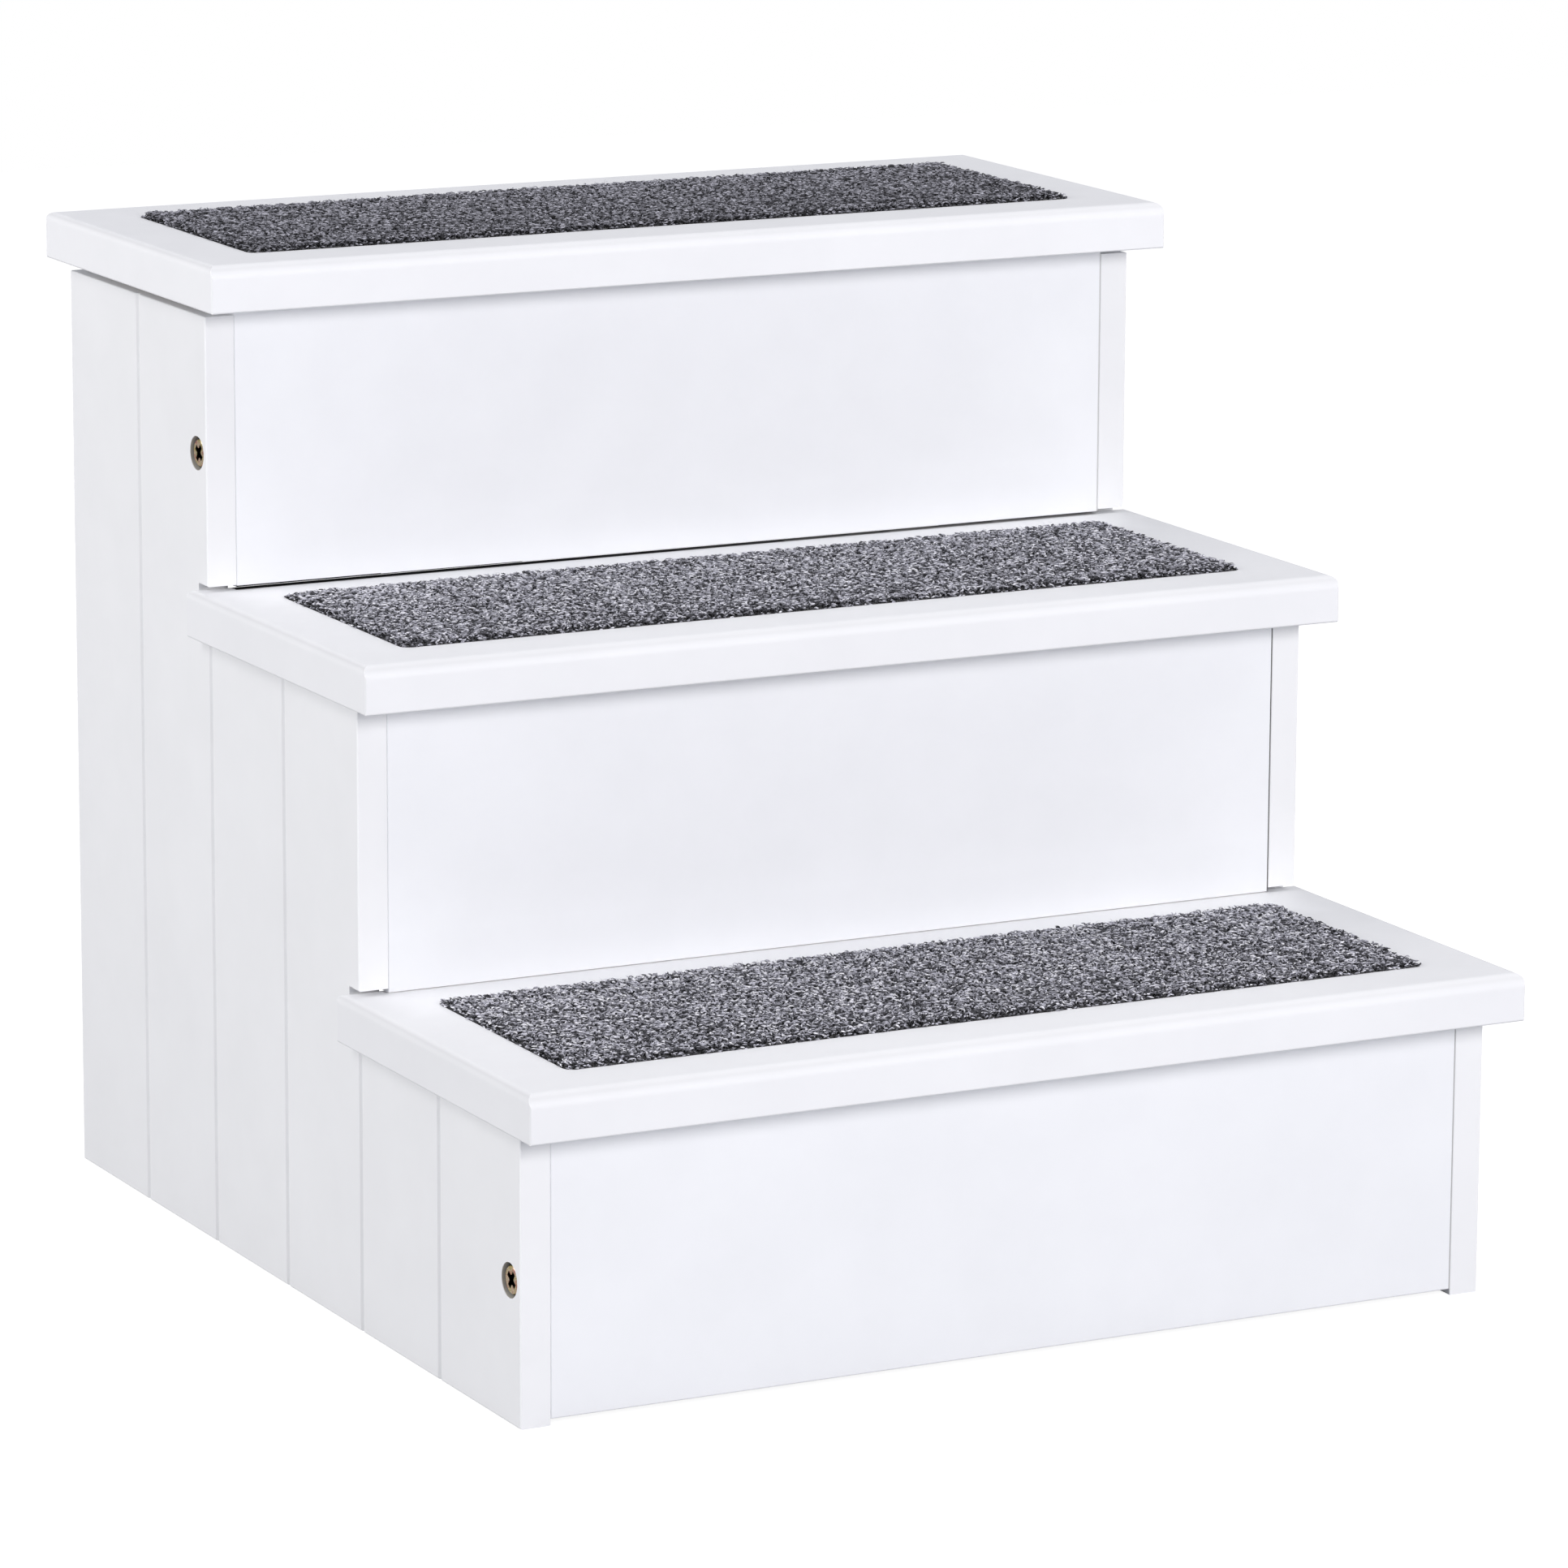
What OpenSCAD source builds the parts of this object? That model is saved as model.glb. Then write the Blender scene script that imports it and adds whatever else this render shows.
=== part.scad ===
// Three-step pet stairs: two grooved side panels, three risers, three treads with inlaid carpet.
// The stairs stand on the XY plane and climb towards +Y. The origin is the middle of the outline on the floor.

/* [Stairs] */
// Width over the two side panels
stair_w = 400; // [340:1:520]
// Rise of each step, tread top to tread top
step_rise = 127.5; // [110:0.5:160]
// Run of each step, riser face to riser face
step_run = 138.5; // [130:0.5:170]
// Depth of the side panels behind the face of the top riser
top_run = 135; // [125:0.5:150]

/* [Side panels] */
// Thickness of a side panel
panel_t = 12; // [11:0.5:18]
// Gap between a side panel and the two lower treads
panel_gap = 1.5; // [0.5:0.1:2.5]
// Gap between a side panel and the top tread
top_gap = 4; // [1:0.1:5]
// Gap between a tread and the side panel above its back edge
slot_gap = 2; // [1:0.1:3]
// Play behind a tread's back edge in the side panel's notch
notch_play = 0.6; // [0.3:0.1:2]
// Radius of the side panels' eased edges
panel_ease = 0.7; // [0.5:0.1:1.1]
// Number of boards that the grooves draw on a side panel
board_count = 6; // [4:1:8]
// Width of a groove
groove_w = 3; // [1.5:0.1:4]
// Depth of a groove
groove_d = 1.5; // [0.8:0.1:2]

/* [Treads] */
// Thickness of a tread
tread_t = 18; // [16:0.5:22]
// How far a tread's nose stands out from the riser below it
tread_nose = 20; // [15:0.5:26]
// How far a tread's back edge is tucked in under the riser behind it
tread_tuck = 8; // [5:0.5:12]
// How far a tread stands out past each side panel
tread_side = 5.5; // [2:0.1:8]
// Radius of a tread's upper front edge
nose_r = 5; // [3:0.1:8]
// Radius of a tread's other upper edges
rim_r = 3; // [1.5:0.1:5]
// Radius of a tread's lower and upright edges
under_r = 0.8; // [0.5:0.1:3]

/* [Carpet] */
// Width of the recess for a carpet
carpet_w = 356; // [330:1:365]
// Depth of the recess, front to back
carpet_l = 111; // [90:0.5:115]
// Tread left bare in front of a carpet
carpet_border = 27.5; // [24:0.5:32]
// Depth of the recess below the tread's top
recess_d = 4; // [3:0.1:6]
// Radius of the recess's four corners
recess_corner_r = 4; // [2:0.5:8]
// How far the pile stands above the tread
pile_h = 2.5; // [1:0.1:5]
// Play all round a carpet in its recess
carpet_play = 0.4; // [0.2:0.1:1]

/* [Risers] */
// Thickness of a riser
riser_t = 18; // [16:0.5:20]
// Gap between the bottom tread and the middle riser
middle_riser_gap = 0.4; // [0.2:0.1:2.5]
// Gap between the middle tread and the top riser
top_riser_gap = 1.1; // [0.2:0.1:2.5]
// Gap between the floor and the lowest riser and rail
foot_gap = 2.5; // [1:0.1:6]
// Radius of the eased edges above and below a riser's face and along a rail's back
riser_ease = 0.5; // [0.3:0.1:2]
// Radius of the eased edges at the seams between the risers and the side panels
seam_ease = 0.5; // [0.2:0.1:1]

/* [Back rails and cleats] */
// Thickness of a back rail
rail_t = 15; // [12:0.5:18]
// Height of a back rail
rail_h = 50; // [40:1:70]
// How far the rails lie in from the back of the side panels
rail_inset = 2; // [0:0.5:5]
// Side of a tread cleat's square section
cleat_s = 15; // [13:0.5:20]
// Play between a cleat and the riser or rail at each of its ends
cleat_play = 3; // [1:0.5:6]

/* [Riser bolts] */
// Diameter of a bolt's shank
bolt_d = 6; // [5:0.1:6.5]
// Diameter of a bolt's head
bolt_head_d = 11.4; // [9:0.1:12]
// Height of a bolt's head
bolt_head_h = 3; // [2.5:0.1:3.5]
// Chamfer round a bolt's head
bolt_head_chamfer = 0.8; // [0.4:0.1:1.2]
// Diameter of the counterbore round a bolt's head
counterbore_d = 13.2; // [12.4:0.1:13.6]
// Depth of the counterbore
counterbore_h = 3.8; // [3.5:0.1:5]
// How far a bolt's axis lies below the middle of its riser
bolt_drop = 3; // [0:0.5:8]
// Play round a bolt's shank in the wood
bolt_play = 0.3; // [0.1:0.05:0.5]
// Diameter of a barrel nut
nut_d = 10; // [9:0.5:12]
// Length of a barrel nut
nut_len = 10; // [8:0.5:12]
// Distance from a riser's end to the axis of its barrel nut
nut_inset = 24; // [18:0.5:32]
// How far a bolt passes through its barrel nut
bolt_past = 2; // [0.5:0.5:5]

/* [Dowels] */
// Diameter of a dowel
dowel_d = 8; // [6:0.5:9]
// Length of a dowel
dowel_len = 30; // [24:1:36]
// How far a dowel goes into the side panel
dowel_seat = 7.5; // [6:0.5:8]
// Play past each end of a dowel
dowel_play = 0.5; // [0.3:0.1:1]
// Distance from a riser's upper or lower edge to the nearest dowel's axis
riser_dowel_edge = 22; // [12:0.5:28]
// Distance from a rail's upper or lower edge to the nearest dowel's axis
rail_dowel_edge = 12; // [8:0.5:14]

/* [Wood screws] */
// Diameter of a screw's shank
screw_d = 4; // [3:0.1:4.5]
// Diameter of a screw's head
screw_head_d = 7.5; // [6:0.1:8]
// Height of a screw's countersunk head
screw_head_h = 2.2; // [1.8:0.1:2.6]
// Length of a screw's point
screw_point = 3; // [2:0.1:5]
// Length of the screws that hold the cleats
cleat_screw_len = 22; // [20:0.5:23]
// Length of the screws that hold the treads
tread_screw_len = 26; // [22:0.5:28]

/* [Hidden] */
$fn = 48;
cut_over = 1;

// Cross recess of the bolts and of the screws: width of an arm, length over two arms, depth,
// diameter of the round core. A bolt's cross is turned a little, as it was left when tightened.
bolt_arm_w = 2.2;
bolt_arm_len = 7;
bolt_arm_h = 2.4;
bolt_core_d = 3.8;
bolt_turn = 35;
screw_arm_w = 1;
screw_arm_len = 3.8;
screw_arm_h = 1.2;
screw_core_d = 1.8;

// Places along a cleat, as shares of its length.
cleat_screw_shares = [0.15, 0.85];
tread_screw_shares = [0.32, 0.68];

// The steps, counted from 0 at the bottom.
step_count = 3;
TOP = step_count - 1;
STEPS = [0 : TOP];
LOWER = [0 : TOP - 1];

tread_depth = tread_nose + step_run + tread_tuck;
front_y = tread_nose - (TOP * step_run + tread_depth) / 2;
panel_back = front_y + TOP * step_run + top_run;
panel_depth = panel_back - front_y;
outer_x = stair_w / 2;
inner_x = outer_x - panel_t;
riser_w = 2 * inner_x;
tread_w = stair_w + 2 * tread_side;
riser_mid = riser_t / 2;
rail_y = panel_back - rail_inset - rail_t;
board_w = panel_depth / board_count;
bolt_len = panel_t - counterbore_h + nut_inset + nut_d / 2 + bolt_past;

function riser_face(i) = front_y + i * step_run;
function tread_top(i) = (i + 1) * step_rise;
function tread_under(i) = tread_top(i) - tread_t;
function tread_back(i) = riser_face(i) - tread_nose + tread_depth;
function notch_back(i) = tread_back(i) + notch_play;
function slot_top(i) = tread_top(i) + slot_gap;
function panel_top(i) = tread_under(i) - (i == TOP ? top_gap : panel_gap);
function panel_base(i) = i == 0 ? 0 : slot_top(i - 1);
function riser_base(i) = i == 0 ? foot_gap : tread_top(i - 1) + (i == TOP ? top_riser_gap : middle_riser_gap);
function riser_h(i) = tread_under(i) - riser_base(i);
function bolt_z(i) = riser_base(i) + riser_h(i) / 2 - bolt_drop;
function cleat_start(i) = riser_face(i) + riser_t + cleat_play;
function cleat_end(i) = (i == TOP ? rail_y : riser_face(i + 1)) - cleat_play;
function cleat_len(i) = cleat_end(i) - cleat_start(i);
function cleat_place(i, share) = cleat_start(i) + share * cleat_len(i);

// Cutter that rounds an edge along +Z, for wood that lies towards +X and +Y.
// Its far end stops at the length where a further wall must stay whole.
module edge_z(length, radius, far = cut_over) {
  difference() {
    translate([-cut_over, -cut_over, -cut_over])
      cube([radius + cut_over, radius + cut_over, length + cut_over + far]);
    translate([radius, radius, -2 * cut_over])
      cylinder(r = radius, h = length + 4 * cut_over);
  }
}

// The same along +X, for wood towards +Y and +Z.
module edge_x(length, radius) {
  rotate([90, 0, 90])
    edge_z(length, radius);
}

// The same along +Y, for wood towards +X and +Z.
module edge_y(length, radius, far = cut_over) {
  rotate([90, 0, 90])
    rotate([90, 0, 90])
      edge_z(length, radius, far);
}

// Block with one corner at the origin and its four upright edges rounded.
module round_block(w, l, h, radius) {
  difference() {
    cube([w, l, h]);
    for (corner = [[0, 0, 0], [w, 0, 90], [w, l, 180], [0, l, 270]])
      translate([corner[0], corner[1], 0])
        rotate([0, 0, corner[2]])
          edge_z(h, radius);
  }
}

// Draws its children as they are and mirrored to the other side of the stairs.
module both_sides() {
  children();
  mirror([1, 0, 0])
    children();
}

// Cross of two slots round a core in the head of a fastener, from its top face at z 0 along +Z.
module cross_recess(arm_w, arm_len, arm_h, core_d) {
  translate([0, 0, -cut_over])
    cylinder(d = core_d, h = arm_h + cut_over);
  for (turn = [0, 90])
    rotate([0, 0, turn])
      translate([-arm_len / 2, -arm_w / 2, -cut_over])
        cube([arm_len, arm_w, arm_h + cut_over]);
}

// Wood screw along +Z, with the flat of its head at z 0. Its hole is cut with the same body.
module screw_body(length) {
  cylinder(d1 = screw_head_d, d2 = screw_d, h = screw_head_h);
  cylinder(d = screw_d, h = length - screw_point);
  translate([0, 0, length - screw_point])
    cylinder(d1 = screw_d, d2 = 0, h = screw_point);
}

module wood_screw(length) {
  difference() {
    screw_body(length);
    cross_recess(screw_arm_w, screw_arm_len, screw_arm_h, screw_core_d);
  }
}

// Side panel, built as the left one: a stepped board with notches for the treads' back edges.
panel_outline = [
  [riser_face(0), 0],
  for (i = LOWER) each [
    [riser_face(i), panel_top(i)],
    [notch_back(i), panel_top(i)],
    [notch_back(i), slot_top(i)],
    [riser_face(i + 1), slot_top(i)],
  ],
  [riser_face(TOP), panel_top(TOP)],
  [panel_back, panel_top(TOP)],
  [panel_back, 0],
];

// Eased edges of the left panel: fronts, back and foot on both faces, tops and notches outside.
module panel_edges() {
  for (i = STEPS) {
    front_h = panel_top(i) - panel_base(i);
    translate([-outer_x, riser_face(i), panel_base(i)])
      edge_z(front_h, panel_ease);
    translate([-inner_x, riser_face(i), panel_base(i)])
      mirror([1, 0, 0])
        edge_z(front_h, seam_ease);
  }
  translate([-outer_x, panel_back, 0])
    mirror([0, 1, 0])
      edge_z(panel_top(TOP), panel_ease);
  translate([-inner_x, panel_back, 0])
    rotate([0, 0, 180])
      edge_z(panel_top(TOP), panel_ease);
  translate([-outer_x, riser_face(0), 0])
    edge_y(panel_depth, panel_ease);
  translate([-inner_x, riser_face(0), 0])
    mirror([1, 0, 0])
      edge_y(panel_depth, panel_ease);
  translate([-outer_x, riser_face(TOP), panel_top(TOP)])
    mirror([0, 0, 1])
      edge_y(top_run, panel_ease);
  for (i = LOWER) {
    translate([-outer_x, riser_face(i), panel_top(i)])
      mirror([0, 0, 1])
        edge_y(notch_back(i) - riser_face(i), panel_ease, 0);
    translate([-outer_x, riser_face(i + 1), slot_top(i)])
      edge_y(notch_back(i) - riser_face(i + 1), panel_ease, 0);
  }
}

// Upright V grooves in the left panel's outer face.
module panel_grooves() {
  for (i = [1 : board_count - 1])
    translate([-outer_x, panel_back - i * board_w, -cut_over])
      linear_extrude(height = panel_top(TOP) + 2 * cut_over)
        polygon([
          [-cut_over, groove_w / 2],
          [0, groove_w / 2],
          [groove_d, 0],
          [0, -groove_w / 2],
          [-cut_over, -groove_w / 2],
        ]);
}

// Places of the riser bolts' axes: only the bottom and the top riser are bolted.
module at_bolts() {
  for (i = [0, TOP])
    translate([-outer_x, riser_face(i) + riser_mid, bolt_z(i)])
      rotate([0, 90, 0])
        children();
}

// Dowels in the left end of a board that stands from z to z + height, or their holes with play at both ends.
module dowel_pair(y, z, height, edge, play) {
  for (up = [edge, height - edge])
    translate([-inner_x - dowel_seat - play, y, z + up])
      rotate([0, 90, 0])
        cylinder(d = dowel_d, h = dowel_len + 2 * play);
}

module riser_dowel_row(play = 0) {
  for (i = STEPS)
    dowel_pair(riser_face(i) + riser_mid, riser_base(i), riser_h(i), riser_dowel_edge, play);
}

module rail_dowel_row(play = 0) {
  for (z = [foot_gap, tread_under(TOP) - rail_h])
    dowel_pair(rail_y + rail_t / 2, z, rail_h, rail_dowel_edge, play);
}

// Screws of the left cleats: level ones into the panel, upright ones into the tread.
module at_cleat_screws() {
  for (i = STEPS, share = cleat_screw_shares)
    translate([-inner_x + cleat_s, cleat_place(i, share), tread_under(i) - cleat_s / 2])
      rotate([0, -90, 0])
        children();
}

module at_tread_screws() {
  for (i = STEPS, share = tread_screw_shares)
    translate([-inner_x + cleat_s / 2, cleat_place(i, share), tread_under(i) - cleat_s])
      children();
}

module side_panel() {
  difference() {
    translate([-outer_x, 0, 0])
      rotate([90, 0, 90])
        linear_extrude(height = panel_t)
          polygon(panel_outline);
    panel_edges();
    panel_grooves();
    at_bolts()
      union() {
        translate([0, 0, -cut_over])
          cylinder(d = counterbore_d, h = counterbore_h + cut_over);
        cylinder(d = bolt_d + 2 * bolt_play, h = panel_t + cut_over);
      }
    riser_dowel_row(dowel_play);
    rail_dowel_row(dowel_play);
    at_cleat_screws()
      screw_body(cleat_screw_len);
  }
}

module left_side_panel() {
  color("whitesmoke")
    side_panel();
}

module right_side_panel() {
  color("whitesmoke")
    mirror([1, 0, 0])
      side_panel();
}

// Riser with eased edges round its face, its dowel holes and, where bolted, the bolt and nut holes.
module riser(i, bolted) {
  color("white")
    difference() {
      translate([-inner_x, riser_face(i), riser_base(i)])
        cube([riser_w, riser_t, riser_h(i)]);
      both_sides() {
        translate([-inner_x, riser_face(i), riser_base(i)])
          edge_z(riser_h(i), seam_ease);
        riser_dowel_row(dowel_play);
        if (bolted)
          at_bolts() {
            cylinder(d = bolt_d + 2 * bolt_play, h = bolt_len + counterbore_h + cut_over);
            translate([0, 0, panel_t + nut_inset])
              rotate([-90, 0, 0])
                translate([0, 0, -nut_len / 2])
                  cylinder(d = nut_d + 2 * bolt_play, h = nut_len / 2 + riser_t);
          }
      }
      translate([-inner_x, riser_face(i), riser_base(i)])
        edge_x(riser_w, riser_ease);
      translate([-inner_x, riser_face(i), tread_under(i)])
        mirror([0, 0, 1])
          edge_x(riser_w, riser_ease);
    }
}

module bottom_riser() {
  riser(0, true);
}

module middle_riser() {
  riser(1, false);
}

module top_riser() {
  riser(TOP, true);
}

// Tread with a rounded nose, rounded rims, a recess for its carpet and pilot holes from below.
module tread(i) {
  color("white")
    difference() {
      translate([-tread_w / 2, riser_face(i) - tread_nose, tread_under(i)])
        cube([tread_w, tread_depth, tread_t]);
      translate([-tread_w / 2, riser_face(i) - tread_nose, tread_top(i)])
        mirror([0, 0, 1])
          edge_x(tread_w, nose_r);
      translate([-tread_w / 2, tread_back(i), tread_top(i)])
        rotate([180, 0, 0])
          edge_x(tread_w, rim_r);
      translate([-tread_w / 2, riser_face(i) - tread_nose, tread_under(i)])
        edge_x(tread_w, under_r);
      translate([-tread_w / 2, tread_back(i), tread_under(i)])
        mirror([0, 1, 0])
          edge_x(tread_w, under_r);
      both_sides() {
        translate([-tread_w / 2, riser_face(i) - tread_nose, tread_top(i)])
          mirror([0, 0, 1])
            edge_y(tread_depth, rim_r);
        translate([-tread_w / 2, riser_face(i) - tread_nose, tread_under(i)])
          edge_y(tread_depth, under_r);
        translate([-tread_w / 2, riser_face(i) - tread_nose, tread_under(i)])
          edge_z(tread_t, under_r);
        translate([-tread_w / 2, tread_back(i), tread_under(i)])
          mirror([0, 1, 0])
            edge_z(tread_t, under_r);
        at_tread_screws()
          screw_body(tread_screw_len);
      }
      translate([-carpet_w / 2, riser_face(i) - tread_nose + carpet_border, tread_top(i) - recess_d])
        round_block(carpet_w, carpet_l, recess_d + cut_over, recess_corner_r);
    }
}

module bottom_tread() {
  tread(0);
}

module middle_tread() {
  tread(1);
}

module top_tread() {
  tread(TOP);
}

// Carpet pad glued into a tread's recess, with its pile a little proud of the tread.
module carpet(i) {
  color("dimgray")
    translate([
      -carpet_w / 2 + carpet_play,
      riser_face(i) - tread_nose + carpet_border + carpet_play,
      tread_top(i) - recess_d,
    ])
      round_block(
        carpet_w - 2 * carpet_play,
        carpet_l - 2 * carpet_play,
        recess_d + pile_h,
        recess_corner_r - carpet_play
      );
}

module bottom_carpet() {
  carpet(0);
}

module middle_carpet() {
  carpet(1);
}

module top_carpet() {
  carpet(TOP);
}

// Rail between the side panels at the back, with dowel holes in its ends and its back edges eased.
module back_rail(z) {
  color("white")
    difference() {
      translate([-inner_x, rail_y, z])
        cube([riser_w, rail_t, rail_h]);
      translate([-inner_x, rail_y + rail_t, z])
        mirror([0, 1, 0])
          edge_x(riser_w, riser_ease);
      translate([-inner_x, rail_y + rail_t, z + rail_h])
        rotate([180, 0, 0])
          edge_x(riser_w, riser_ease);
      both_sides()
        rail_dowel_row(dowel_play);
    }
}

module upper_back_rail() {
  back_rail(tread_under(TOP) - rail_h);
}

module lower_back_rail() {
  back_rail(foot_gap);
}

// Square cleat on the left panel under a tread, with its two pairs of screw holes.
module cleat(i) {
  color("burlywood")
    difference() {
      translate([-inner_x, cleat_start(i), tread_under(i) - cleat_s])
        cube([cleat_s, cleat_len(i), cleat_s]);
      at_cleat_screws()
        screw_body(cleat_screw_len);
      at_tread_screws()
        screw_body(tread_screw_len);
    }
}

module bottom_left_cleat() {
  cleat(0);
}

module bottom_right_cleat() {
  mirror([1, 0, 0])
    cleat(0);
}

module middle_left_cleat() {
  cleat(1);
}

module middle_right_cleat() {
  mirror([1, 0, 0])
    cleat(1);
}

module top_left_cleat() {
  cleat(TOP);
}

module top_right_cleat() {
  mirror([1, 0, 0])
    cleat(TOP);
}

// Bolt with a chamfered head and a cross recess, seated on the floor of its counterbore.
module riser_bolt() {
  seat = counterbore_h;
  difference() {
    translate([0, 0, seat - bolt_head_h]) {
      cylinder(d1 = bolt_head_d - 2 * bolt_head_chamfer, d2 = bolt_head_d, h = bolt_head_chamfer);
      translate([0, 0, bolt_head_chamfer])
        cylinder(d = bolt_head_d, h = bolt_head_h - bolt_head_chamfer);
      cylinder(d = bolt_d, h = bolt_head_h + bolt_len);
    }
    translate([0, 0, seat - bolt_head_h])
      rotate([0, 0, bolt_turn])
        cross_recess(bolt_arm_w, bolt_arm_len, bolt_arm_h, bolt_core_d);
  }
}

module left_riser_bolts() {
  color("goldenrod")
    at_bolts()
      riser_bolt();
}

module right_riser_bolts() {
  color("goldenrod")
    mirror([1, 0, 0])
      at_bolts()
        riser_bolt();
}

// Barrel nuts across the risers, each on its bolt's axis.
module barrel_nuts() {
  color("silver")
    both_sides()
      at_bolts()
        translate([0, 0, panel_t + nut_inset])
          difference() {
            rotate([-90, 0, 0])
              translate([0, 0, -nut_len / 2])
                cylinder(d = nut_d, h = nut_len);
            translate([0, 0, -nut_d])
              cylinder(d = bolt_d, h = 2 * nut_d);
          }
}

module riser_dowels() {
  color("burlywood")
    both_sides()
      riser_dowel_row();
}

module rail_dowels() {
  color("burlywood")
    both_sides()
      rail_dowel_row();
}

module cleat_screws() {
  color("silver")
    both_sides()
      at_cleat_screws()
        wood_screw(cleat_screw_len);
}

module tread_screws() {
  color("silver")
    both_sides()
      at_tread_screws()
        wood_screw(tread_screw_len);
}

left_side_panel();
right_side_panel();
bottom_riser();
middle_riser();
top_riser();
bottom_tread();
middle_tread();
top_tread();
bottom_carpet();
middle_carpet();
top_carpet();
upper_back_rail();
lower_back_rail();
bottom_left_cleat();
bottom_right_cleat();
middle_left_cleat();
middle_right_cleat();
top_left_cleat();
top_right_cleat();
left_riser_bolts();
right_riser_bolts();
barrel_nuts();
riser_dowels();
rail_dowels();
cleat_screws();
tread_screws();
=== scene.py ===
# %% [markdown]
# Three-step pet stairs in satin white paint, with a grey carpet let into every tread.
# The joinery comes in as a fixed model that is already the right size, so this lesson is about
# finishes and about the one thing that solids can't show: the curly pile of the carpet.
# Every length here is in metres. The stairs stand on the floor at height 0 and climb towards +Y.

# %% Load the joinery
import math

import bpy
import numpy as np
from mathutils import Matrix, Vector


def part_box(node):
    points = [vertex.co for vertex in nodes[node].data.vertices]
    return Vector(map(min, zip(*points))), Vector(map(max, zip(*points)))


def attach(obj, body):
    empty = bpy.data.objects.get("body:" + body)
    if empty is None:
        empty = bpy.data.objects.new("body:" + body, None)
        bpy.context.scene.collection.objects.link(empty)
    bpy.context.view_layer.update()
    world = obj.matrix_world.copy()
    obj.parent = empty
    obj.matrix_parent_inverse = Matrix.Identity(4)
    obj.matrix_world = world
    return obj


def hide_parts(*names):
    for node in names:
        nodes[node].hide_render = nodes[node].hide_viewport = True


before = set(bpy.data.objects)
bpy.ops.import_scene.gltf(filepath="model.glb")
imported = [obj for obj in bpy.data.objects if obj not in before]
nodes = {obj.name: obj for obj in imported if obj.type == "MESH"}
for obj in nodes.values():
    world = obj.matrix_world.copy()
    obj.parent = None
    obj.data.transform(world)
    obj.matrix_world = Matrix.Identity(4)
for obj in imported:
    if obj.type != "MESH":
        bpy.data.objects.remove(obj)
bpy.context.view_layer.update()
scene = bpy.context.scene
STEPS = ("bottom", "middle", "top")
print(len(nodes), "wooden, metal and carpet parts")

# %% [markdown]
# The photograph was taken from the front left with a long lens, from a little above the top step.
# A camera can be placed by eye, but straight edges make a better guide: the corners of the treads
# and panels were marked in the picture, and one camera was found that puts the model's corners
# on the marks. What came out is a place, three turns and a focal length in pixels.
# Blender wants the focal length in millimetres on a sensor 36 mm wide, so it is converted here.

# %% Camera
PICTURE_PX = 1932
FOCAL_PX = 9278.5
SENSOR_MM = 36
CAMERA_PLACE = Vector((-1.2915, -2.5231, 0.7931))
CAMERA_YAW, CAMERA_PITCH, CAMERA_ROLL = (math.radians(a) for a in (27.247, 12.276, 0.281))

ahead = Vector((
    math.sin(CAMERA_YAW) * math.cos(CAMERA_PITCH),
    math.cos(CAMERA_YAW) * math.cos(CAMERA_PITCH),
    -math.sin(CAMERA_PITCH),
))
level_right = Vector((math.cos(CAMERA_YAW), -math.sin(CAMERA_YAW), 0))
level_up = level_right.cross(ahead)
right = level_right * math.cos(CAMERA_ROLL) + level_up * math.sin(CAMERA_ROLL)
up = level_up * math.cos(CAMERA_ROLL) - level_right * math.sin(CAMERA_ROLL)

camera_data = bpy.data.cameras.new("photo_camera")
camera_data.sensor_width = SENSOR_MM
camera_data.lens = FOCAL_PX / PICTURE_PX * SENSOR_MM
camera = bpy.data.objects.new("photo_camera", camera_data)
scene.collection.objects.link(camera)
turn = Matrix((right, up, -ahead)).transposed()
camera.matrix_world = Matrix.Translation(CAMERA_PLACE) @ turn.to_4x4()
scene.camera = camera
scene.view_settings.view_transform = "Standard"
print("lens", round(camera_data.lens, 1), "mm")

# %% [markdown]
# A node material is a small graph. A few helpers keep the graphs below short. The first starts a
# material and hands back its Principled shader, and the second adds a node and fills in its
# inputs: a socket of another node is linked, and a plain value is written in. The others are the
# small sums that come back in every finish.

# %% Helpers for node graphs
def start_material(name):
    material = bpy.data.materials.new(name)
    material.use_nodes = True
    return material, material.node_tree, material.node_tree.nodes["Principled BSDF"]


def add_node(tree, kind, inputs=(), **settings):
    made = tree.nodes.new(kind)
    for setting, value in settings.items():
        setattr(made, setting, value)
    for socket, value in dict(inputs).items():
        if isinstance(value, bpy.types.NodeSocket):
            tree.links.new(value, made.inputs[socket])
        else:
            made.inputs[socket].default_value = value
    return made


def number_math(tree, operation, a, b):
    return add_node(tree, "ShaderNodeMath", {0: a, 1: b}, operation=operation).outputs[0]


def vector_math(tree, operation, inputs):
    return add_node(tree, "ShaderNodeVectorMath", inputs, operation=operation).outputs[0]


def largest_part(tree, vector):
    """The largest of a vector's three parts."""
    parts = add_node(tree, "ShaderNodeSeparateXYZ", {"Vector": vector}).outputs
    of_two = number_math(tree, "MAXIMUM", parts["X"], parts["Y"])
    return number_math(tree, "MAXIMUM", of_two, parts["Z"])


def blended(tree, share, under, over):
    """The colour under where the share is 0, the colour over where it is 1."""
    inputs = {"Factor": share, "A": under, "B": over}
    return add_node(tree, "ShaderNodeMix", inputs, data_type="RGBA").outputs[2]


def scaled(tree, colour, share):
    return vector_math(tree, "SCALE", {0: colour, "Scale": share})


# %% [markdown]
# A pattern should have its real size wherever it falls, so it is drawn from positions on the
# object in metres. Noise gives a number at each position, mostly between 0.3 and 0.7. A ramp
# turns that number into a colour, a map range into a roughness, and a bump into small relief.
# A box on the object marks a place that gets another finish.

# %% Patterns, places and relief
NOISE_SPAN = 0.3, 0.7


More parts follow.
